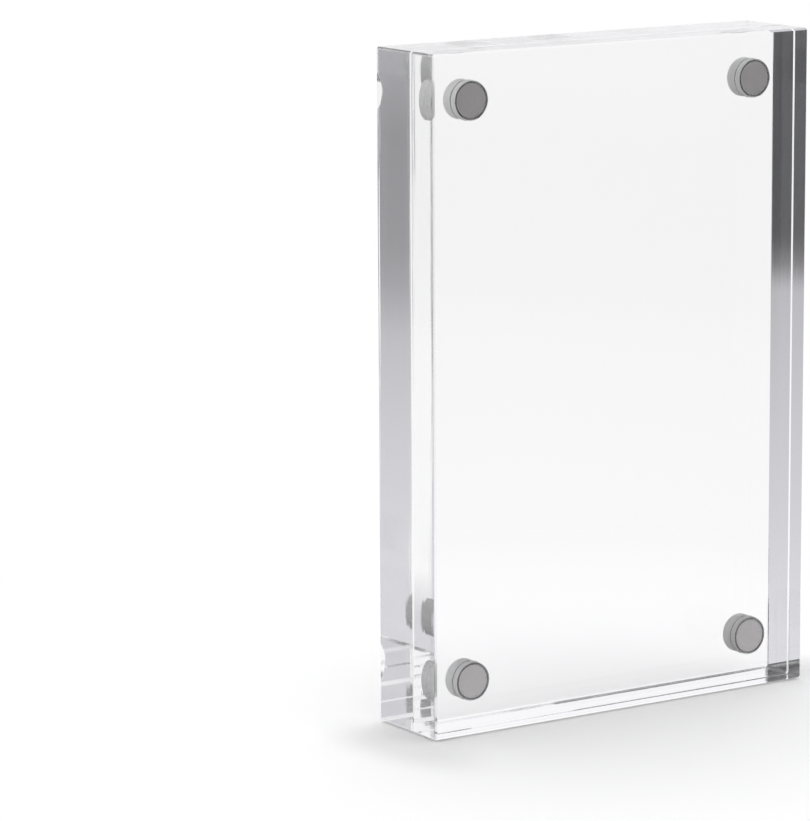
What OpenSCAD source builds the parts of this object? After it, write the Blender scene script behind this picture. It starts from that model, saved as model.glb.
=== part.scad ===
// Desktop photo frame made of two thick clear acrylic blocks, held face to face by disc magnets.
// Each corner has a pair of magnets, one glued into a blind bore in each block's inner face.
// The magnets stand a little proud, so a print slips into the thin gap between the blocks.
// Millimetres, +Z up, the front towards -Y. The origin is at the middle of the base.

/* [Print] */
// Width of the print
print_w = 102; // [60:1:220]
// Height of the print
print_h = 152; // [90:1:320]
// Clear acrylic left past each edge of the print
print_margin = 1; // [0:0.5:8]

/* [Blocks] */
// Thickness of the front block
front_t = 8.7; // [7:0.1:20]
// Thickness of the rear block
rear_t = 13.9; // [9:0.1:25]
// Polished chamfer on the outer edges of a block
edge_chamfer = 0.5; // [0.2:0.1:1.2]
// Small chamfer round the inner face of a block
inner_chamfer = 0.2; // [0.1:0.05:0.6]

/* [Magnets] */
// Diameter of each disc magnet
magnet_d = 8; // [5:0.5:12]
// Thickness of the disc magnets in the front block
front_magnet_t = 2.5; // [1.5:0.5:4]
// Thickness of the disc magnets in the rear block
rear_magnet_t = 4; // [2:0.5:6]
// Chamfer on the rims of a magnet
magnet_chamfer = 0.3; // [0.1:0.05:0.5]
// How far a magnet stands out of its block's inner face
magnet_proud = 0.15; // [0.05:0.05:0.4]
// From the side of a block to the centre of a magnet
side_inset = 12.7; // [10:0.1:20]
// From the top or bottom of a block to the centre of a magnet
end_inset = 11.2; // [10:0.1:20]

/* [Glue] */
// Width of the glue ring between a magnet and its bore
glue_ring = 0.5; // [0.3:0.05:1]
// Thickness of the glue behind a front magnet
front_glue_bed = 0.2; // [0.1:0.05:1]
// Thickness of the glue behind a rear magnet
rear_glue_bed = 1.2; // [0.1:0.05:2]
// Hairline that the set glue leaves at a round wall
glue_shrink = 0.05; // [0.02:0.01:0.1]

/* [Hidden] */
$fn = 96;
cut_over = 1; // how far a cut runs past the face it starts from

block_w = print_w + 2 * print_margin;
block_h = print_h + 2 * print_margin;
print_gap = 2 * magnet_proud;
total_t = front_t + print_gap + rear_t;
pole_y = front_t + magnet_proud - total_t / 2; // where the magnets of a pair meet

bore_d = magnet_d + 2 * glue_ring;
front_sunk = front_magnet_t - magnet_proud;
rear_sunk = rear_magnet_t - magnet_proud;
front_bore = front_sunk + front_glue_bed;
rear_bore = rear_sunk + rear_glue_bed;

// Left is the left of someone who faces the front.
CORNERS = ["top_left", "top_right", "bottom_left", "bottom_right"];
magnet_x = block_w / 2 - side_inset;
magnet_top_z = block_h - end_inset;
CORNER_PLACES = [
    [-magnet_x, 0, magnet_top_z],
    [magnet_x, 0, magnet_top_z],
    [-magnet_x, 0, end_inset],
    [magnet_x, 0, end_inset]
];

PIECES = ["front_magnet", "rear_magnet", "front_glue", "rear_glue"];
CORNER_NODES = [for (piece = PIECES) for (corner = CORNERS) str(piece, "_", corner)];

acrylic = [0.9, 0.94, 0.96, 0.4];
nickel = [0.66, 0.65, 0.63];
clear_glue = [0.86, 0.87, 0.86, 0.7];

// A part made here has its block's inner face at y = 0 and the block's thickness along +Y.
module in_rear_half() {
    translate([0, pole_y + magnet_proud, 0]) children();
}

module in_front_half() {
    translate([0, pole_y - magnet_proud, 0]) mirror([0, 1, 0]) children();
}

module along_y() {
    rotate([-90, 0, 0]) children();
}

// A rectangle w wide from y = 0 to y = h, with its lower and upper corners cut off at 45 degrees.
module cut_corner_rectangle(w, h, lower, upper) {
    x = w / 2;
    polygon([
        [lower - x, 0], [x - lower, 0], [x, lower], [x, h - upper],
        [x - upper, h], [upper - x, h], [-x, h - upper], [-x, lower]
    ]);
}

// A block with all twelve edges chamfered: what its front, side and top outlines have in common.
module bevelled_block(t) {
    intersection() {
        translate([0, t, 0]) rotate([90, 0, 0])
            linear_extrude(t) cut_corner_rectangle(block_w, block_h, edge_chamfer, edge_chamfer);
        translate([0, 0, block_h / 2]) rotate([0, -90, 0])
            linear_extrude(block_w, center = true) cut_corner_rectangle(block_h, t, inner_chamfer, edge_chamfer);
        linear_extrude(block_h) cut_corner_rectangle(block_w, t, inner_chamfer, edge_chamfer);
    }
}

module bored_block(t, bore_depth) {
    difference() {
        bevelled_block(t);
        for (place = CORNER_PLACES)
            translate(place)
            along_y()
            translate([0, 0, -cut_over])
            cylinder(h = bore_depth + cut_over, d = bore_d);
    }
}

module front_block() {
    color(acrylic) in_front_half() bored_block(front_t, front_bore);
}

module rear_block() {
    color(acrylic) in_rear_half() bored_block(rear_t, rear_bore);
}

// A disc with chamfered rims, turned from its half section.
module disc_magnet(t) {
    r = magnet_d / 2;
    c = magnet_chamfer;
    color(nickel)
    along_y()
    translate([0, 0, -magnet_proud])
    rotate_extrude()
    polygon([[0, 0], [r - c, 0], [r, c], [r, t - c], [r - c, t], [0, t]]);
}

// The glue that fills a bore round and behind its magnet, a cup.
module glue_cup(bore_depth, sunk) {
    color(clear_glue)
    along_y()
    difference() {
        cylinder(h = bore_depth, d = bore_d - 2 * glue_shrink);
        translate([0, 0, -cut_over]) cylinder(h = sunk + cut_over, d = magnet_d + 2 * glue_shrink);
    }
}

module front_magnet(place) {
    in_front_half() translate(place) disc_magnet(front_magnet_t);
}

module rear_magnet(place) {
    in_rear_half() translate(place) disc_magnet(rear_magnet_t);
}

module front_glue(place) {
    in_front_half() translate(place) glue_cup(front_bore, front_sunk);
}

module rear_glue(place) {
    in_rear_half() translate(place) glue_cup(rear_bore, rear_sunk);
}

front_block();
rear_block();
for (i = [0 : len(CORNERS) - 1]) {
    corner = CORNERS[i];
    place = CORNER_PLACES[i];
    front_magnet(place);
    rear_magnet(place);
    front_glue(place);
    rear_glue(place);
}
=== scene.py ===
import math

import bpy
import numpy as np
from mathutils import Matrix, Vector


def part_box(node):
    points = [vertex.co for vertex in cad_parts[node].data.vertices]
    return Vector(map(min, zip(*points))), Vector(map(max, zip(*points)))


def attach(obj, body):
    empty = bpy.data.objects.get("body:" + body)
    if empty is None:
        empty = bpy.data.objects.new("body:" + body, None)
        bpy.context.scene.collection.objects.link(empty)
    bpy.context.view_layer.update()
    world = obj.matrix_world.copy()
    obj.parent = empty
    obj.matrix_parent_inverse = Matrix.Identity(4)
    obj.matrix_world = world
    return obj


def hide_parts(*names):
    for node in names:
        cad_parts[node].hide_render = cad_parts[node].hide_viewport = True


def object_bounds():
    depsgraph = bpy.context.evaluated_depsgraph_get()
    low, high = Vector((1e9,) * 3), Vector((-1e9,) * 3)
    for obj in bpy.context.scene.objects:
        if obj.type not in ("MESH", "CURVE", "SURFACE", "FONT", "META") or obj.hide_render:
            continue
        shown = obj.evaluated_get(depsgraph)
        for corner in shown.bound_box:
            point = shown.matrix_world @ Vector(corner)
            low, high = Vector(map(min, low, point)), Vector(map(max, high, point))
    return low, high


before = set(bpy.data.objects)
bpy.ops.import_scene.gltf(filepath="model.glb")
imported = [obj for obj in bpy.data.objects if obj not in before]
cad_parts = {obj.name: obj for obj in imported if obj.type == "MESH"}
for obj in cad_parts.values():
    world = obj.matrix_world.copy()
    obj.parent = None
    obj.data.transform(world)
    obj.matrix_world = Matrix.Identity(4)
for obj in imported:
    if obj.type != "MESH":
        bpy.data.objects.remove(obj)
cad_low, cad_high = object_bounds()

# Every length here is in metres, with +Z up and the front towards -Y.
CORNERS = ("top_left", "top_right", "bottom_left", "bottom_right")

# Chamfers on a block's outer edges and round its inner face, how flat they are, and their rows of faces.
OUTER_CHAMFER = 0.0005
INNER_CHAMFER = 0.0002
CHAMFER_POWER = 1.16
CHAMFER_ROWS = 7
ROW_CROWDING = 2.2
# The square patch round each bore: half its width, the faces along one side of it, and its rings of faces.
PATCH_HALF = 0.0062
PATCH_FACES = 24
PATCH_RINGS = 3
# Radius of the broken edge at a bore's mouth and of the fillet at its floor, and the floor's rings of faces.
BORE_MOUTH = 0.00012
BORE_FILLET = 0.00035
BORE_FLOOR_RINGS = 6
# Rows of a bore's profile that the drill has left matt: from inside its mouth to half way round its fillet.
MATT_ROWS = slice(1, 8)
# Rim radius of a magnet, and the rings of faces on each of its poles.
MAGNET_RIM = 0.00018
POLE_RINGS = 5
# How much wider in radius a bore is than the solid of its glue, the hairline of air left round the glue, and
# the rings of faces on each of its flat floors.
GLUE_SHRINK = 0.00005
HAIRLINE = 0.00003
CUP_RINGS = 4
# The glue's lip: how deep it is drawn down, the share of that at its edges, the part of a half turn that its
# rows span and their number, how far its normals lean, its haze and that of the hollow's rim, and the lip's
# normal where it meets a wall.
LIP_DEPTH = 0.00025
LIP_EDGE_SHARE = 0.4
LIP_SPAN, LIP_ROWS = (0.15, 0.85), 6
LIP_LEAN = 0.5
LIP_HAZE, HOLLOW_RIM_HAZE = 0.3, 0.5
LIP_EDGE_OUT, LIP_EDGE_UP = 0.95, -0.31
# How far in from both its sides a quarter round lies at its middle, as a share of its radius, and either part
# of its normal there.
ROUND_CUT_SHARE = 0.3
DIAGONAL = math.sqrt(0.5)
# Points on a quarter round, and steps round a turned piece.
QUARTER_POINTS = 5
TURN_STEPS = 96
# Points that round to the same tenth of a micron are one, and nothing is divided by less than TINY.
WELD_STEPS_PER_METRE = 1e7
TINY = 1e-9

# Point attributes that tell the materials where a bore, an upright narrow side or a level one is.
FINISH_TAGS = ("bored", "upright", "level")
PLAIN = (0, 0, 0)
NARROW_TAGS = {0: (0, 1, 0), 1: PLAIN, 2: (0, 0, 1)}


def weld(points, faces, tags):
    """Joins points that share a place: each is rounded to a tenth of a micron and equal ones become one.

    Faces with two corners on one point turn into triangles. Each face keeps its own corners' normals.
    """
    keys = np.round(points * WELD_STEPS_PER_METRE).astype(np.int64)
    _, first, back = np.unique(keys, axis=0, return_index=True, return_inverse=True)
    back = back.reshape(-1)
    corners = back[faces]
    same = corners == np.roll(corners, -1, axis=1)
    kept = []
    for i in range(4):
        alone = same[:, i] & (same.sum(1) == 1)
        order = [(i + 1) % 4, (i + 2) % 4, (i + 3) % 4]
        kept.append((corners[alone][:, order], faces[alone][:, order]))
    whole = same.sum(1) == 0
    kept.append((corners[whole], faces[whole]))
    return points[first], tags[first], kept


def mesh_piece(name, patches, drilled=False):
    """Makes one mesh object from patches, each (points, normals, tags, mask) on a grid of two parameters.

    A patch's faces join the grid's neighbours (i, j), (i, j + 1), (i + 1, j + 1), (i + 1, j), and are turned
    about where that puts them against the normals. The tags become point attributes, in FINISH_TAGS' order.
    On a drilled piece the faces with all their points tagged as bored take the piece's second material.
    """
    points, normals, tags, faces = [], [], [], []
    count = 0
    for grid, normal, tag, mask in patches:
        rows, cols = grid.shape[:2]
        index = count + np.arange(rows * cols).reshape(rows, cols)
        quads = np.stack([index[:-1, :-1], index[:-1, 1:], index[1:, 1:], index[1:, :-1]], -1)
        if mask is not None:
            quads = quads[mask]
        quads = quads.reshape(-1, 4)
        flat = grid.reshape(-1, 3)
        leaving = normal.reshape(-1, 3)
        q = quads - count
        across = np.cross(flat[q[:, 2]] - flat[q[:, 0]], flat[q[:, 3]] - flat[q[:, 1]])
        wrong = (across * leaving[q].sum(1)).sum(1) < 0
        quads[wrong] = quads[wrong][:, ::-1]
        points.append(flat)
        normals.append(leaving)
        tags.append(np.broadcast_to(tag, grid.shape[:2] + (3,)).reshape(-1, 3))
        faces.append(quads)
        count += rows * cols
    points = np.concatenate(points)
    normals = np.concatenate(normals)
    tags = np.concatenate(tags)
    faces = np.concatenate(faces)
    places, place_tags, kept = weld(points, faces, tags)
    corner_ids = np.concatenate([c.reshape(-1) for c, _ in kept])
    normal_ids = np.concatenate([f.reshape(-1) for _, f in kept])
    sizes = np.concatenate([np.full(len(c), c.shape[1]) for c, _ in kept])

    mesh = bpy.data.meshes.new(name)
    mesh.vertices.add(len(places))
    mesh.vertices.foreach_set("co", places.astype(np.float32).reshape(-1))
    mesh.loops.add(len(corner_ids))
    mesh.loops.foreach_set("vertex_index", corner_ids.astype(np.int32))
    mesh.polygons.add(len(sizes))
    starts = np.concatenate([[0], np.cumsum(sizes)[:-1]])
    mesh.polygons.foreach_set("loop_start", starts.astype(np.int32))
    mesh.polygons.foreach_set("use_smooth", np.ones(len(sizes), bool))
    if drilled:
        bored = np.concatenate([place_tags[c][..., 0].min(1) > 0.5 for c, _ in kept])
        mesh.polygons.foreach_set("material_index", bored.astype(np.int32))
    mesh.update(calc_edges=True)
    for k, attribute in enumerate(FINISH_TAGS):
        layer = mesh.attributes.new(attribute, "FLOAT", "POINT")
        layer.data.foreach_set("value", place_tags[:, k].astype(np.float32))
    mesh.validate()
    mesh.normals_split_custom_set(normals[normal_ids].astype(np.float32))
    piece = bpy.data.objects.new(name, mesh)
    bpy.context.collection.objects.link(piece)
    return piece


def edge_lines(half, inner, low_chamfer=OUTER_CHAMFER, high_chamfer=OUTER_CHAMFER):
    """Places of the grid lines along one axis of a block, as (core place, lean) pairs.

    The lean runs from -1 at the middle of one chamfer to 0 on the flat and 1 at the middle of the other.
    Its size is an even step raised to ROW_CROWDING, so rows crowd where the chamfer meets the flat.
    """
    steps = np.linspace(1, 0, CHAMFER_ROWS + 1)[:-1] ** ROW_CROWDING
    low, high = low_chamfer - half, half - high_chamfer
    place = np.concatenate([np.full(CHAMFER_ROWS, low), [low], inner, [high], np.full(CHAMFER_ROWS, high)])
    lean = np.concatenate([-steps, np.zeros(len(inner) + 2), steps[::-1]])
    return place, lean


def power_round(pair):
    """Puts pairs on the curve |a|^p + |b|^p = 1 and gives the curve's unit normal there too.

    Power p near 1 makes a flat chamfer and 2 would make a round. The normal's parts go as |part|^(p - 1).
    """
    p = CHAMFER_POWER
    reach = pair / (np.abs(pair) ** p).sum(-1, keepdims=True) ** (1 / p)
    normal = np.sign(reach) * np.abs(reach) ** (p - 1)
    normal[pair == 0] = 0
    return reach, normal / np.linalg.norm(normal, axis=-1, keepdims=True)


def bevelled_side(centre, halves, lines, axis, sign, mating_sign):
    """One of the six sides of a block with softly flat chamfers, smaller round the inner (mating) face.

    Seen along Y, the outline is the block's core rectangle plus the outer chamfer times the power curve's
    direction. The profile from an outline to a face is the power curve too: it takes c(1 - a) off the
    outline's reach and adds c b along Y, where (a, b) is on the curve and c is that edge's chamfer.
    """
    a, b = [k for k in range(3) if k != axis]
    (place_a, lean_a), (place_b, lean_b) = lines[a], lines[b]
    lean = np.zeros((len(place_a), len(place_b), 3))
    core = np.zeros_like(lean)
    lean[..., a] = lean_a[:, None]
    lean[..., b] = lean_b[None, :]
    lean[..., axis] = sign
    core[..., a] = place_a[:, None]
    core[..., b] = place_b[None, :]
    chamfer = np.where(lean[..., 1] * mating_sign > 0, INNER_CHAMFER, OUTER_CHAMFER)

    spread = np.abs(lean[..., (0, 2)]).max(-1)
    heading = lean[..., (0, 2)] / np.maximum(spread, TINY)[..., None]
    heading[spread == 0] = (1, 0)
    outline, outline_normal = power_round(heading)
    outward = spread.copy()
    if axis == 1:
        core[..., 1] = sign * (halves[1] - chamfer)
        if sign == mating_sign:
            # The first row runs flat to where this smaller chamfer starts.
            row = spread ** (1 / ROW_CROWDING) * CHAMFER_ROWS
            outward = np.maximum((row - 1) / (CHAMFER_ROWS - 1), 0) ** ROW_CROWDING
    else:
        core[..., axis] = sign * (halves[axis] - OUTER_CHAMFER)
    profile, profile_normal = power_round(np.stack([outward, np.abs(lean[..., 1])], -1))
    reach = OUTER_CHAMFER - chamfer * (1 - profile[..., 0])
    reach[spread == 0] = 0
    along = np.sign(lean[..., 1])
    points = centre + core
    points[..., (0, 2)] += reach[..., None] * outline
    points[..., 1] += along * chamfer * profile[..., 1]
    normals = np.zeros_like(points)
    normals[..., (0, 2)] = outline_normal * profile_normal[..., :1]
    normals[..., 1] = along * profile_normal[..., 1]
    return points, normals


def bore_patches(x, z, face_y, inward, radius, depth):
    """The square round a bore, drawn in to a circle, and the bore itself turned about its axis.

    Ring k of the square patch is (1 - k) times the square's outline plus k times the circle, point by point.
    The bore's profile is a quarter round at the mouth, the wall, a quarter round fillet, and the floor.
    """
    steps = np.linspace(-1, 1, PATCH_FACES + 1)[:-1]
    ones = np.ones(PATCH_FACES)
    square = np.concatenate([
        np.stack([steps, -ones], 1), np.stack([ones, steps], 1),
        np.stack([-steps, ones], 1), np.stack([-ones, -steps], 1),
    ])
    square = np.concatenate([square, square[:1]]) * PATCH_HALF
    # Like the square's outline, the circle starts at the lower left.
    turn = np.linspace(0, 2 * np.pi, 4 * PATCH_FACES + 1) - 0.75 * np.pi
    circle = np.stack([np.cos(turn), np.sin(turn)], 1)
    mouth = radius + BORE_MOUTH
    k = np.linspace(0, 1, PATCH_RINGS + 1)[:, None, None]
    ring = (1 - k) * square + k * circle * mouth
    flat = np.stack([x + ring[..., 0], np.full(ring.shape[:2], face_y), z + ring[..., 1]], -1)
    face_normal = np.broadcast_to(np.array([0, -inward, 0.0]), flat.shape)

    quarter = np.linspace(0, np.pi / 2, QUARTER_POINTS)
    out = np.concatenate([mouth - BORE_MOUTH * np.sin(quarter),
                          radius - BORE_FILLET * (1 - np.cos(quarter)),
                          np.linspace(radius - BORE_FILLET, 0, BORE_FLOOR_RINGS + 1)[1:]])
    deep = np.concatenate([BORE_MOUTH * (1 - np.cos(quarter)),
                           depth - BORE_FILLET * (1 - np.sin(quarter)),
                           np.full(BORE_FLOOR_RINGS, depth)])
    # The normal leaves the acrylic: it points to the bore's axis on the wall and to its mouth on the floor.
    axial = np.concatenate([np.cos(quarter), np.sin(quarter), np.ones(BORE_FLOOR_RINGS)])
    radial = np.concatenate([-np.sin(quarter), -np.cos(quarter), np.zeros(BORE_FLOOR_RINGS)])
    bore = np.stack([
        x + out[:, None] * circle[None, :, 0],
        np.broadcast_to((face_y + inward * deep)[:, None], (len(out), len(circle))),
        z + out[:, None] * circle[None, :, 1],
    ], -1)
    bore_normal = np.stack([
        radial[:, None] * circle[None, :, 0],
        np.broadcast_to((-inward * axial)[:, None], (len(out), len(circle))),
        radial[:, None] * circle[None, :, 1],
    ], -1)
    # The wall is left matt by the drill, and the floor is wetted clear by the glue.
    tag = np.zeros(bore.shape[:2] + (3,))
    tag[MATT_ROWS, :, 0] = 1.0
    return (flat, face_normal, PLAIN, None), (bore, bore_normal, tag, None)


def acrylic_block(node, mating_sign, bores, bore_radius, bore_depth):
    """A block from six bevelled sides, its mating side opened for the bores.

    mating_sign is 1 where that side faces along Y and -1 where it faces the other way.
    """
    low, high = (np.array(v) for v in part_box(node))
    centre, halves = (low + high) / 2, (high - low) / 2
    inner = []
    for axis, places in ((0, sorted({b[0] for b in bores})), (2, sorted({b[1] for b in bores}))):
        inner.append(np.concatenate([
            np.linspace(v - PATCH_HALF, v + PATCH_HALF, PATCH_FACES + 1) for v in places]) - centre[axis])
    ends = (INNER_CHAMFER, OUTER_CHAMFER)[::-mating_sign]
    lines = [edge_lines(halves[0], inner[0]), edge_lines(halves[1], np.zeros(1), *ends),
             edge_lines(halves[2], inner[1])]
    patches = []
    for axis in range(3):
        for sign in (-1, 1):
            grid, normal = bevelled_side(centre, halves, lines, axis, sign, mating_sign)
            mask = None
            if axis == 1 and sign == mating_sign:
                middle = (grid[:-1, :-1] + grid[1:, 1:]) / 2
                mask = np.ones(middle.shape[:2], bool)
                for x, z in bores:
                    across, up = np.abs(middle[..., 0] - x), np.abs(middle[..., 2] - z)
                    mask &= np.maximum(across, up) >= PATCH_HALF
            patches.append((grid, normal, NARROW_TAGS[axis], mask))
    face_y = centre[1] + mating_sign * halves[1]
    for x, z in bores:
        patches += bore_patches(x, z, face_y, -mating_sign, bore_radius, bore_depth)
    return mesh_piece(node + "_clear", patches, drilled=True)


def turned(name, x, z, base_y, direction, profile):
    """A closed shape turned about the line along Y through (x, z).

    profile is a list of (radius, height, radial normal, axial normal, haze) rows, and direction is the way
    along Y that its heights run, 1 or -1.
    """
    rows = np.array(profile, float)
    turn = np.linspace(0, 2 * np.pi, TURN_STEPS + 1)
    grid = np.stack([
        x + rows[:, :1] * np.cos(turn)[None],
        np.broadcast_to((base_y + direction * rows[:, 1])[:, None], (len(rows), len(turn))),
        z + rows[:, :1] * np.sin(turn)[None],
    ], -1)
    normal = np.stack([
        rows[:, 2:3] * np.cos(turn)[None],
        np.broadcast_to((direction * rows[:, 3])[:, None], (len(rows), len(turn))),
        rows[:, 2:3] * np.sin(turn)[None],
    ], -1)
    grid[:, -1] = grid[:, 0]
    tag = np.zeros(grid.shape)
    tag[..., 0] = rows[:, 4:]
    return mesh_piece(name, [(grid, normal, tag, None)])


def rounded(corner_r, corner_h, radius, start, stop, haze=0):
    """Rows of a profile on a quarter round: centre plus radius times direction, which is the normal too."""
    rows = []
    for t in np.radians(np.linspace(start, stop, QUARTER_POINTS)):
        out, up = math.cos(t), math.sin(t)
        rows.append((corner_r + radius * out, corner_h + radius * up, out, up, haze))
    return rows


def disc_magnet(node, direction):
    """A disc with softly rounded rims: flat pole, quarter round, wall, quarter round, flat pole."""
    low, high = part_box(node)
    x, z = (low.x + high.x) / 2, (low.z + high.z) / 2
    base_y = (low.y + high.y) / 2
    half = (high.y - low.y) / 2
    radius = (high.x - low.x) / 2
    c = MAGNET_RIM
    flats = np.linspace(0, radius - c, POLE_RINGS + 1)[:-1]
    profile = [(r, -half, 0, -1, 0) for r in flats]
    profile += rounded(radius - c, -half + c, c, -90, 0)
    profile += rounded(radius - c, half - c, c, 0, 90)
    profile += [(r, half, 0, 1, 0) for r in flats[::-1]]
    return turned(node + "_plated", x, z, base_y, direction, profile)


def glue_cup(node, magnet, direction):
    """The cup of glue: an outer wall and floor, a meniscus lip, and the hollow that the magnet fills.

    direction is the way from the bore's mouth to its floor.
    """
    low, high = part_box(node)
    magnet_low, magnet_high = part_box(magnet)
    x, z = (low.x + high.x) / 2, (low.z + high.z) / 2
    mouth_y, floor_y = (low.y, high.y) if direction > 0 else (high.y, low.y)
    depth = abs(floor_y - mouth_y) - HAIRLINE
    pole_y = magnet_high.y if direction > 0 else magnet_low.y
    hollow = abs(pole_y - mouth_y) + HAIRLINE
    outer = (high.x - low.x) / 2 - HAIRLINE
    inner = (magnet_high.x - magnet_low.x) / 2 + HAIRLINE
    fillet = BORE_FILLET
    profile = [(r, depth, 0, 1, 0) for r in np.linspace(0, outer - fillet, CUP_RINGS + 1)[:-1]]
    profile += rounded(outer - fillet, depth - fillet, fillet, 90, 0, 1)
    # The lip is drawn down between the walls, as wet glue dries: a half turn of a shallow ellipse. Each of
    # its sharp edges comes twice, once with the wall's normal and once with the lip's.
    lip = (outer - inner) / 2
    edge = LIP_DEPTH * LIP_EDGE_SHARE
    profile += [(outer, edge, 1, 0, 1), (outer, edge, -LIP_EDGE_OUT, LIP_EDGE_UP, 1)]
    for t in np.linspace(*LIP_SPAN, LIP_ROWS) * math.pi:
        out, deep = math.cos(t), LIP_EDGE_SHARE + (1 - LIP_EDGE_SHARE) * math.sin(t)
        normal = Vector((-LIP_LEAN * out, -1.0)).normalized()
        profile.append((inner + lip + lip * out, LIP_DEPTH * deep, normal.x, normal.y, LIP_HAZE))
    profile += [(inner, edge, LIP_EDGE_OUT, LIP_EDGE_UP, 1), (inner, edge, -1, 0, 1)]
    # The hollow follows the magnet's wall, rim and pole.
    profile += [(inner, hollow - MAGNET_RIM, -1, 0, 1)]
    cut = MAGNET_RIM * ROUND_CUT_SHARE
    profile += [(inner - cut, hollow - cut, -DIAGONAL, -DIAGONAL, HOLLOW_RIM_HAZE)]
    profile += [(r, hollow, 0, -1, 0) for r in np.linspace(inner - MAGNET_RIM, 0, CUP_RINGS + 1)]
    return turned(node + "_set", x, z, mouth_y, direction, profile)


# Materials. Marks are given by their fineness, in waves to a metre, and their unevenness.

# The acrylic's narrow sides: their roughness, and the buffing marks that run along them.
ACRYLIC_TINT, ACRYLIC_IOR = (0.999, 0.999, 0.999, 1), 1.49
SIDE_ROUGHNESS = 0.04
BUFFING_MARKS, BUFFING_DEPTH = (900.0, 0.5), 0.00002
# The matt wall of a bore and the drill's rings on it: their darkest and lightest white, and the part of the
# marks' height that these are spread over.
MATT_ROUGHNESS = 0.8
DRILL_MARKS, DRILL_DEPTH = (2600.0, 0.6), 0.00003
DRILL_WHITES = (0.84, 0.845, 0.85, 1), (0.99, 0.99, 0.99, 1)
DRILL_CONTRAST = 0.35, 0.65
# The plating: its clouding between two greys, and its roughness with what the lapping marks add.
NICKEL_GREYS = (0.675, 0.65, 0.617, 1), (0.71, 0.685, 0.65, 1)
CLOUD_SCALE, CLOUD_DETAIL = 380.0, 4.0
NICKEL_ROUGHNESS, LAPPING_ROUGHNESS = 0.26, 0.04
LAPPING_MARKS, LAPPING_DEPTH = (6000.0, 0.6), 0.0000003
# The glue: its roughness where it is clear, and what haze and its small bubbles add.
GLUE_TINT, GLUE_IOR = (0.93, 0.935, 0.935, 1), 1.47
CLEAR_ROUGHNESS, HAZE_ROUGHNESS, BUBBLE_ROUGHNESS = 0.01, 0.2, 0.3
BUBBLE_SCALE, BUBBLE_DEPTH = 1600.0, 0.00003
# How far marks are drawn out along their run: 1 not at all, and the nearer to 0 the more.
LONG_RUN, SHORT_RUN = 0.02, 0.3
MARK_DETAIL = 3.0


def new_group(name, inputs, outputs):
    """A shader node group with the named sockets, each given as (name, socket type, default)."""
    group = bpy.data.node_groups.new(name, "ShaderNodeTree")
    for title, kind, default in inputs:
        socket = group.interface.new_socket(title, in_out="INPUT", socket_type=kind)
        if default is not None:
            socket.default_value = default
    for title, kind in outputs:
        group.interface.new_socket(title, in_out="OUTPUT", socket_type=kind)
    return group, group.nodes.new("NodeGroupInput"), group.nodes.new("NodeGroupOutput")


def wire(tree, start, end):
    """Links an output socket to an input socket."""
    tree.links.new(start, end)


def math_node(tree, operation, a, b=None, clamp=False):
    """The output of a Math node whose inputs are sockets or plain numbers."""
    node = tree.nodes.new("ShaderNodeMath")
    node.operation = operation
    node.use_clamp = clamp
    for socket, value in zip(node.inputs, (a, b)):
        if isinstance(value, (int, float)):
            socket.default_value = value
        elif value is not None:
            wire(tree, value, socket)
    return node.outputs[0]


def tool_marks_group():
    """Fine parallel marks that a tool leaves: noise at the point's place times Along, part by part.

    Along has 1 for the ways across the marks and a small part for the way they run, which draws them out.
    Fineness is the noise's scale and Unevenness how strong its finer waves are.
    """
    group, start, end = new_group(
        "tool_marks",
        [("Along", "NodeSocketVector", (1, 1, LONG_RUN)), ("Fineness", "NodeSocketFloat", BUFFING_MARKS[0]),
         ("Unevenness", "NodeSocketFloat", BUFFING_MARKS[1])],
        [("Height", "NodeSocketFloat")],
    )
    place = group.nodes.new("ShaderNodeTexCoord")
    squash = group.nodes.new("ShaderNodeVectorMath")
    squash.operation = "MULTIPLY"
    wire(group, place.outputs["Object"], squash.inputs[0])
    wire(group, start.outputs["Along"], squash.inputs[1])
    noise = group.nodes.new("ShaderNodeTexNoise")
    noise.inputs["Detail"].default_value = MARK_DETAIL
    wire(group, squash.outputs[0], noise.inputs["Vector"])
    wire(group, start.outputs["Fineness"], noise.inputs["Scale"])
    wire(group, start.outputs["Unevenness"], noise.inputs["Roughness"])
    wire(group, noise.outputs["Fac"], end.inputs["Height"])
    return group


TOOL_MARKS = tool_marks_group()


def new_material(name, **values):
    """A Principled material with plain values set on its own sockets."""
    material = bpy.data.materials.new(name)
    material.use_nodes = True
    shader = material.node_tree.nodes["Principled BSDF"]
    for title, value in values.items():
        shader.inputs[title.replace("_", " ")].default_value = value
    return material, material.node_tree, shader


def finish_tag(tree, name):
    """One of the point attributes in FINISH_TAGS, 0 to 1."""
    node = tree.nodes.new("ShaderNodeAttribute")
    node.attribute_name = name
    return node.outputs["Fac"]


def object_place(tree):
    """Where the point is on its piece."""
    return tree.nodes.new("ShaderNodeTexCoord").outputs["Object"]


def tool_marks(tree, along, fineness, unevenness):
    """The height of the marks that the group of that name makes."""
    node = tree.nodes.new("ShaderNodeGroup")
    node.node_tree = TOOL_MARKS
    node.inputs["Along"].default_value = along
    node.inputs["Fineness"].default_value = fineness
    node.inputs["Unevenness"].default_value = unevenness
    return node.outputs["Height"]


def bump(tree, height, distance):
    """The normal that a height from 0 to 1 gives when 1 is distance metres high."""
    node = tree.nodes.new("ShaderNodeBump")
    node.inputs["Distance"].default_value = distance
    wire(tree, height, node.inputs["Height"])
    return node.outputs["Normal"]


def blend_colours(tree, factor, first, second):
    """From the first colour at factor 0 to the second at 1, each a socket or a plain colour."""
    node = tree.nodes.new("ShaderNodeMix")
    node.data_type = "RGBA"
    for title, value in (("Factor", factor), ("A", first), ("B", second)):
        if isinstance(value, tuple):
            node.inputs[title].default_value = value
        else:
            wire(tree, value, node.inputs[title])
    return node.outputs["Result"]


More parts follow.
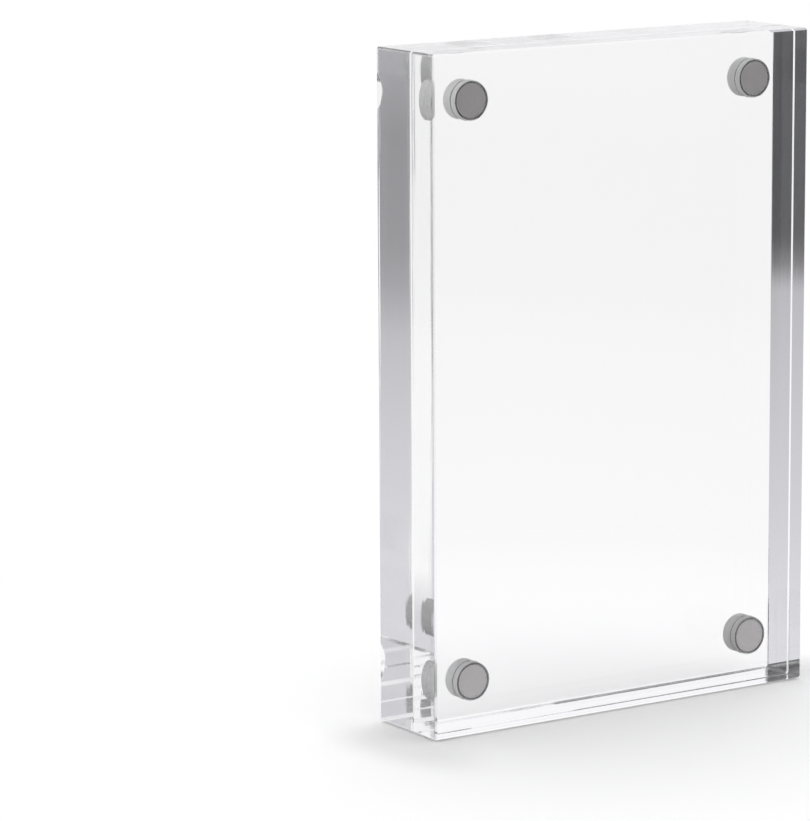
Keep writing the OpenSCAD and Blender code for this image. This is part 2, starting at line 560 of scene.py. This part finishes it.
def map_range(tree, value, low, high, smooth=False):
    """0 at low to 1 at high, in a straight line or smoothly, and no less or more past them."""
    node = tree.nodes.new("ShaderNodeMapRange")
    node.interpolation_type = "SMOOTHSTEP" if smooth else "LINEAR"
    node.inputs["From Min"].default_value = low
    node.inputs["From Max"].default_value = high
    wire(tree, value, node.inputs["Value"])
    return node.outputs["Result"]


def acrylic_material():
    """Clear cast acrylic: faces like glass, with buffing marks along the narrow sides."""
    material, tree, shader = new_material(
        "clear_acrylic", Base_Color=ACRYLIC_TINT, IOR=ACRYLIC_IOR, Transmission_Weight=1.0)
    upright, level = finish_tag(tree, "upright"), finish_tag(tree, "level")
    narrow = math_node(tree, "ADD", upright, level)
    wire(tree, math_node(tree, "MULTIPLY", narrow, SIDE_ROUGHNESS), shader.inputs["Roughness"])
    up_marks = math_node(tree, "MULTIPLY", tool_marks(tree, (1.0, 1.0, LONG_RUN), *BUFFING_MARKS), upright)
    level_marks = math_node(tree, "MULTIPLY", tool_marks(tree, (LONG_RUN, 1.0, 1.0), *BUFFING_MARKS), level)
    height = math_node(tree, "ADD", up_marks, level_marks)
    wire(tree, bump(tree, height, BUFFING_DEPTH), shader.inputs["Normal"])
    return material


def drilled_material():
    """The wall of a bore, ground white by the drill, with fine rings where its lips have turned."""
    material, tree, shader = new_material(
        "drilled_acrylic", Roughness=MATT_ROUGHNESS, Specular_IOR_Level=0.0)
    rings = tool_marks(tree, (LONG_RUN, 1.0, LONG_RUN), *DRILL_MARKS)
    contrast = map_range(tree, rings, *DRILL_CONTRAST)
    wire(tree, blend_colours(tree, contrast, *DRILL_WHITES), shader.inputs["Base Color"])
    wire(tree, bump(tree, rings, DRILL_DEPTH), shader.inputs["Normal"])
    return material


def nickel_material():
    """Satin nickel plating: a faintly clouded warm grey metal, with fine lapping marks in its roughness."""
    material, tree, shader = new_material("nickel_plating", Metallic=1.0)
    cloud = tree.nodes.new("ShaderNodeTexNoise")
    wire(tree, object_place(tree), cloud.inputs["Vector"])
    cloud.inputs["Scale"].default_value = CLOUD_SCALE
    cloud.inputs["Detail"].default_value = CLOUD_DETAIL
    wire(tree, blend_colours(tree, cloud.outputs["Fac"], *NICKEL_GREYS), shader.inputs["Base Color"])
    lapping = tool_marks(tree, (1.0, 1.0, SHORT_RUN), *LAPPING_MARKS)
    added = math_node(tree, "MULTIPLY", lapping, LAPPING_ROUGHNESS)
    wire(tree, math_node(tree, "ADD", added, NICKEL_ROUGHNESS), shader.inputs["Roughness"])
    wire(tree, bump(tree, lapping, LAPPING_DEPTH), shader.inputs["Normal"])
    return material


def glue_material():
    """Set clear glue: clear where it lies flat, hazy with small bubbles where it wets a wall."""
    material, tree, shader = new_material(
        "clear_glue", Base_Color=GLUE_TINT, IOR=GLUE_IOR, Transmission_Weight=1.0)
    bubbles = tree.nodes.new("ShaderNodeTexVoronoi")
    bubbles.inputs["Scale"].default_value = BUBBLE_SCALE
    wire(tree, object_place(tree), bubbles.inputs["Vector"])
    # The glue's own tag says how hazy it is, in the place of how bored a block is.
    hazy = finish_tag(tree, "bored")
    added = math_node(tree, "MULTIPLY", bubbles.outputs["Distance"], BUBBLE_ROUGHNESS)
    haze = math_node(tree, "MULTIPLY", math_node(tree, "ADD", added, HAZE_ROUGHNESS), hazy)
    wire(tree, math_node(tree, "ADD", haze, CLEAR_ROUGHNESS), shader.inputs["Roughness"])
    height = math_node(tree, "MULTIPLY", bubbles.outputs["Distance"], hazy)
    wire(tree, bump(tree, height, BUBBLE_DEPTH), shader.inputs["Normal"])
    return material


ACRYLIC = acrylic_material()
DRILLED = drilled_material()
NICKEL = nickel_material()
GLUE = glue_material()


def finish_piece(piece, body, materials, node):
    """Gives a piece its materials and the body it rides on, and hides the CAD part of the node that it stands
    for.
    """
    for material in materials:
        piece.data.materials.append(material)
    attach(piece, body)
    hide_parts(node)


def build_half(half, mating_sign):
    """One half of the frame: its block, four magnets and four cups of glue."""
    body = half + "_half"
    bores = []
    for corner in CORNERS:
        low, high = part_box(f"{half}_magnet_{corner}")
        bores.append((round((low.x + high.x) / 2, 6), round((low.z + high.z) / 2, 6)))
    glue_low, glue_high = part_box(f"{half}_glue_{CORNERS[0]}")
    bore_radius = (glue_high.x - glue_low.x) / 2 + GLUE_SHRINK
    bore_depth = glue_high.y - glue_low.y
    block = acrylic_block(half + "_block", mating_sign, bores, bore_radius, bore_depth)
    finish_piece(block, body, (ACRYLIC, DRILLED), half + "_block")
    for corner in CORNERS:
        magnet_node, glue_node = f"{half}_magnet_{corner}", f"{half}_glue_{corner}"
        finish_piece(disc_magnet(magnet_node, -mating_sign), body, (NICKEL,), magnet_node)
        finish_piece(glue_cup(glue_node, magnet_node, -mating_sign), body, (GLUE,), glue_node)


build_half("front", 1)
build_half("rear", -1)


# The studio.

CAMERA_AZIMUTH = math.radians(33.24)
CAMERA_ELEVATION = math.radians(10.49)
CAMERA_ROLL = math.radians(-0.31)
CAMERA_DISTANCE = 0.971
CAMERA_TARGET = Vector((-0.0522, 0, 0.0736))
FOCAL_PIXELS = 4354
PICTURE_LONG_SIDE = 821
SENSOR_WIDTH = 36.0

# The way the camera looks over the floor, and the way to its right.
LOOK = Vector((math.sin(CAMERA_AZIMUTH), math.cos(CAMERA_AZIMUTH), 0))
ASIDE = Vector((LOOK.y, -LOOK.x, 0))

# How far the floor lies below the frame's base, half its width, its faces along a side, and its paper.
FLOOR_DROP = 0.0004
FLOOR_HALF = 6.0
FLOOR_FACES = 12
PAPER, PAPER_ROUGHNESS = (0.86, 0.86, 0.865, 1), 0.9
WHITE, BLACK = (1, 1, 1, 1), (0, 0, 0, 1)
# A painted glow added to the lit paper, which stands in for the light that the blocks' clear faces and the
# room add. It is left out in an oval beside each narrow
# side, which paints a shadow there: how far out and to the front its middle lies, its radii, and the share of
# them that is in full shade.
PAINTED_FLOOR_GLOW = (0.12, 0.12, 0.12, 1)
SHADOW_OVAL_OUT, SHADOW_OVAL_FRONT = 0.007, 0.010
SHADOW_OVAL_RADII, SHADOW_OVAL_CORE = (0.016, 0.034), 0.2
# How far out the paper starts to turn into the plain white backdrop, and where it has done so.
SHADOW_REACH, WHITE_REACH = 0.06, 0.20

# What light that has met a reflection finds on the floor: (distance to the right of the camera's line, grey).
# The floor greys slowly outwards, and past its lit part it is dim, more so on the left.
FLOOR_REACH = 1.3
FLOOR_TONES = [
    (-0.65, 0.04), (-0.58, 0.16), (-0.52, 0.49), (-0.42, 0.52), (-0.15, 0.63), (0.0, 0.72),
    (0.1, 0.72), (0.34, 0.6), (0.47, 0.53), (0.57, 0.4), (0.64, 0.37), (1.0, 0.35), (1.28, 0.44),
]
# A white sweep runs straight back from behind the frame: its middle to the right of the camera's line, its
# half width and soft edge there, and how far back it starts and is full.
SWEEP_MIDDLE, SWEEP_HALF, SWEEP_EDGE = 0.045, 0.05, 0.03
SWEEP_START, SWEEP_FULL = 0.05, 0.12
# And in the studio over it: (how far to the right its direction points, grey).
ROOM_REACH = 1.0
ROOM_TONES = [(-0.9, 0.05), (-0.5, 0.10), (-0.12, 1.0), (0.4, 1.0), (0.7, 0.66), (0.95, 0.66)]
# Both are tinted a faint violet.
SIDE_TINT = (0.985, 0.98, 1.03)

# A soft box high up behind the frame on the right throws its shadow forwards: its place, size and watts.
SOFTBOX_PLACE = Vector((0.45, 0.55, 1.1))
SOFTBOX_SIZE = 1.2
SOFTBOX_POWER = 3.2

# Light is led through the blocks by many reflections inside them.
MOST_BOUNCES, MOST_REFLECTIONS, MOST_PASSES = 80, 64, 24


def place_camera():
    """Stands the camera off its target by azimuth and elevation, with a slight roll about its own line."""
    back = Vector((-math.sin(CAMERA_AZIMUTH) * math.cos(CAMERA_ELEVATION),
                   -math.cos(CAMERA_AZIMUTH) * math.cos(CAMERA_ELEVATION), math.sin(CAMERA_ELEVATION)))
    data = bpy.data.cameras.new("camera")
    data.sensor_width = SENSOR_WIDTH
    data.lens = FOCAL_PIXELS / PICTURE_LONG_SIDE * SENSOR_WIDTH
    camera = bpy.data.objects.new("camera", data)
    bpy.context.collection.objects.link(camera)
    camera.rotation_mode = "QUATERNION"
    camera.location = CAMERA_TARGET + back * CAMERA_DISTANCE
    turn = (-back).to_track_quat("-Z", "Y").to_matrix() @ Matrix.Rotation(CAMERA_ROLL, 3, "Z")
    camera.rotation_quaternion = turn.to_quaternion()
    bpy.context.scene.camera = camera


def distance_along(tree, output, direction):
    """The part of a place or direction that lies along another direction."""
    dot = tree.nodes.new("ShaderNodeVectorMath")
    dot.operation = "DOT_PRODUCT"
    dot.inputs[1].default_value = direction
    wire(tree, output, dot.inputs[0])
    return dot.outputs["Value"]


def vector_length(tree, output):
    """How far a place lies from the origin."""
    node = tree.nodes.new("ShaderNodeVectorMath")
    node.operation = "LENGTH"
    wire(tree, output, node.inputs[0])
    return node.outputs["Value"]


def side_colour(tree, distance, reach, tones):
    """Tones as a colour ramp over the distance to the right, from -reach to reach."""
    node = tree.nodes.new("ShaderNodeValToRGB")
    elements = node.color_ramp.elements
    while len(elements) < len(tones):
        elements.new(0.5)
    for element, (place, grey) in zip(elements, tones):
        element.position = (place + reach) / (2 * reach)
        element.color = tuple(min(grey * part, 1) for part in SIDE_TINT) + (1,)
    wire(tree, map_range(tree, distance, -reach, reach), node.inputs["Fac"])
    return node.outputs["Color"]


def light_path_masks(tree):
    """1 where the camera, glass or metal looks, and 1 where that look has met a reflection on its way.

    The depths are counts, so anything between 0 and 1 tells none from some.
    """
    path = tree.nodes.new("ShaderNodeLightPath")
    seen = math_node(tree, "ADD", path.outputs["Is Camera Ray"], path.outputs["Is Glossy Ray"])
    seen = math_node(tree, "ADD", seen, path.outputs["Is Transmission Ray"], clamp=True)
    seen = math_node(tree, "MULTIPLY", seen, math_node(tree, "LESS_THAN", path.outputs["Diffuse Depth"], 0.5))
    reflected = math_node(tree, "GREATER_THAN", path.outputs["Glossy Depth"], 0.5)
    return seen, math_node(tree, "MULTIPLY", seen, reflected)


def sweep_mask(tree, place, aside):
    """1 on the white sweep behind the frame."""
    off = math_node(tree, "ABSOLUTE", math_node(tree, "SUBTRACT", aside, SWEEP_MIDDLE))
    across = map_range(tree, off, SWEEP_HALF + SWEEP_EDGE, SWEEP_HALF, smooth=True)
    along = map_range(tree, distance_along(tree, place, LOOK), SWEEP_START, SWEEP_FULL, smooth=True)
    return math_node(tree, "MULTIPLY", across, along)


def painted_light_under_frame(tree, place):
    """1 right under the frame: a painted pool of light, which stands in for the light that comes down through
    the blocks and lands there.
    """
    parts = tree.nodes.new("ShaderNodeSeparateXYZ")
    wire(tree, place, parts.inputs[0])
    within = []
    for part, most in (("X", cad_high.x), ("Y", cad_high.y)):
        out = math_node(tree, "ABSOLUTE", parts.outputs[part])
        within.append(math_node(tree, "LESS_THAN", out, most))
    return math_node(tree, "MULTIPLY", *within)


def painted_side_shadow(tree, place):
    """1 on the floor close beside a narrow side, fading out over an oval: a painted shadow, where the floor's
    painted glow is left out.

    The step from the oval's middle to the place, its x made positive, is divided by the oval's radii. Its
    length is then 1 on the oval, where the mask is 0, and SHADOW_OVAL_CORE where the mask reaches 1.
    """
    out = math_node(tree, "ABSOLUTE", distance_along(tree, place, (1, 0, 0)))
    flat = tree.nodes.new("ShaderNodeCombineXYZ")
    wire(tree, out, flat.inputs["X"])
    wire(tree, distance_along(tree, place, (0, 1, 0)), flat.inputs["Y"])
    step = tree.nodes.new("ShaderNodeVectorMath")
    step.operation = "MULTIPLY_ADD"
    wire(tree, flat.outputs["Vector"], step.inputs[0])
    radius_x, radius_y = SHADOW_OVAL_RADII
    step.inputs[1].default_value = (1 / radius_x, 1 / radius_y, 0)
    step.inputs[2].default_value = (-(cad_high.x + SHADOW_OVAL_OUT) / radius_x, SHADOW_OVAL_FRONT / radius_y, 0)
    return map_range(tree, vector_length(tree, step.outputs["Vector"]), 1.0, SHADOW_OVAL_CORE, smooth=True)


def floor_piece():
    """The floor: a square on a grid of two parameters, just under the frame's base.

    Near the frame it is lit paper that takes the shadow, with a painted glow on it that is left out in a
    painted shadow beside each narrow side, and further out it is seen as the white backdrop.
    """
    steps = np.linspace(-FLOOR_HALF, FLOOR_HALF, FLOOR_FACES + 1)
    grid = np.stack(np.broadcast_arrays(steps[:, None], steps[None, :], np.array([[-FLOOR_DROP]])), -1)
    normal = np.broadcast_to(np.array([0, 0, 1.0]), grid.shape)
    floor = mesh_piece("studio_floor", [(grid, normal, PLAIN, None)])
    material, tree, shader = new_material(
        "studio_floor_paper", Roughness=PAPER_ROUGHNESS, Specular_IOR_Level=0.0, Emission_Strength=1.0)
    place = object_place(tree)
    seen, reflected = light_path_masks(tree)
    far = map_range(tree, vector_length(tree, place), SHADOW_REACH, WHITE_REACH, smooth=True)
    far = math_node(tree, "MULTIPLY", far, seen)
    backdrop = math_node(tree, "MAXIMUM", far, reflected)
    wire(tree, blend_colours(tree, backdrop, PAPER, BLACK), shader.inputs["Base Color"])
    # The painted glow lightens the paper's shade, and is left out beside each narrow side, which paints a
    # shadow there.
    glow_kept = math_node(tree, "SUBTRACT", 1.0, painted_side_shadow(tree, place))
    glow_share = math_node(tree, "MULTIPLY", seen, glow_kept)
    painted_glow = blend_colours(tree, glow_share, BLACK, PAINTED_FLOOR_GLOW)
    glow = blend_colours(tree, far, painted_glow, WHITE)
    aside = distance_along(tree, place, ASIDE)
    tones = side_colour(tree, aside, FLOOR_REACH, FLOOR_TONES)
    # Light that has met a reflection finds white on the sweep and a painted pool of light under the frame.
    white = math_node(tree, "MAXIMUM", sweep_mask(tree, place, aside), painted_light_under_frame(tree, place))
    glow = blend_colours(tree, reflected, glow, blend_colours(tree, white, tones, WHITE))
    wire(tree, glow, shader.inputs["Emission Color"])
    floor.data.materials.append(material)


def studio_world():
    """Plain white all round, but for light that has met a reflection, which finds the side tones."""
    world = bpy.data.worlds.new("studio")
    bpy.context.scene.world = world
    world.use_nodes = True
    tree = world.node_tree
    direction = tree.nodes.new("ShaderNodeTexCoord").outputs["Generated"]
    tones = side_colour(tree, distance_along(tree, direction, ASIDE), ROOM_REACH, ROOM_TONES)
    colour = blend_colours(tree, light_path_masks(tree)[1], WHITE, tones)
    wire(tree, colour, tree.nodes["Background"].inputs["Color"])


def overhead_softbox():
    """A square lamp that faces the frame, and that neither glass nor metal shows."""
    light = bpy.data.lights.new("overhead_softbox", "AREA")
    light.size = SOFTBOX_SIZE
    light.energy = SOFTBOX_POWER
    lamp = bpy.data.objects.new("overhead_softbox", light)
    bpy.context.collection.objects.link(lamp)
    lamp.location = SOFTBOX_PLACE
    lamp.rotation_mode = "QUATERNION"
    lamp.rotation_quaternion = (-SOFTBOX_PLACE).to_track_quat("-Z", "Y")
    lamp.visible_glossy = False
    lamp.visible_transmission = False


place_camera()
floor_piece()
studio_world()
overhead_softbox()

scene = bpy.context.scene
scene.view_settings.view_transform = "Standard"
scene.cycles.max_bounces = MOST_BOUNCES
scene.cycles.glossy_bounces = MOST_REFLECTIONS
scene.cycles.transmission_bounces = MOST_PASSES
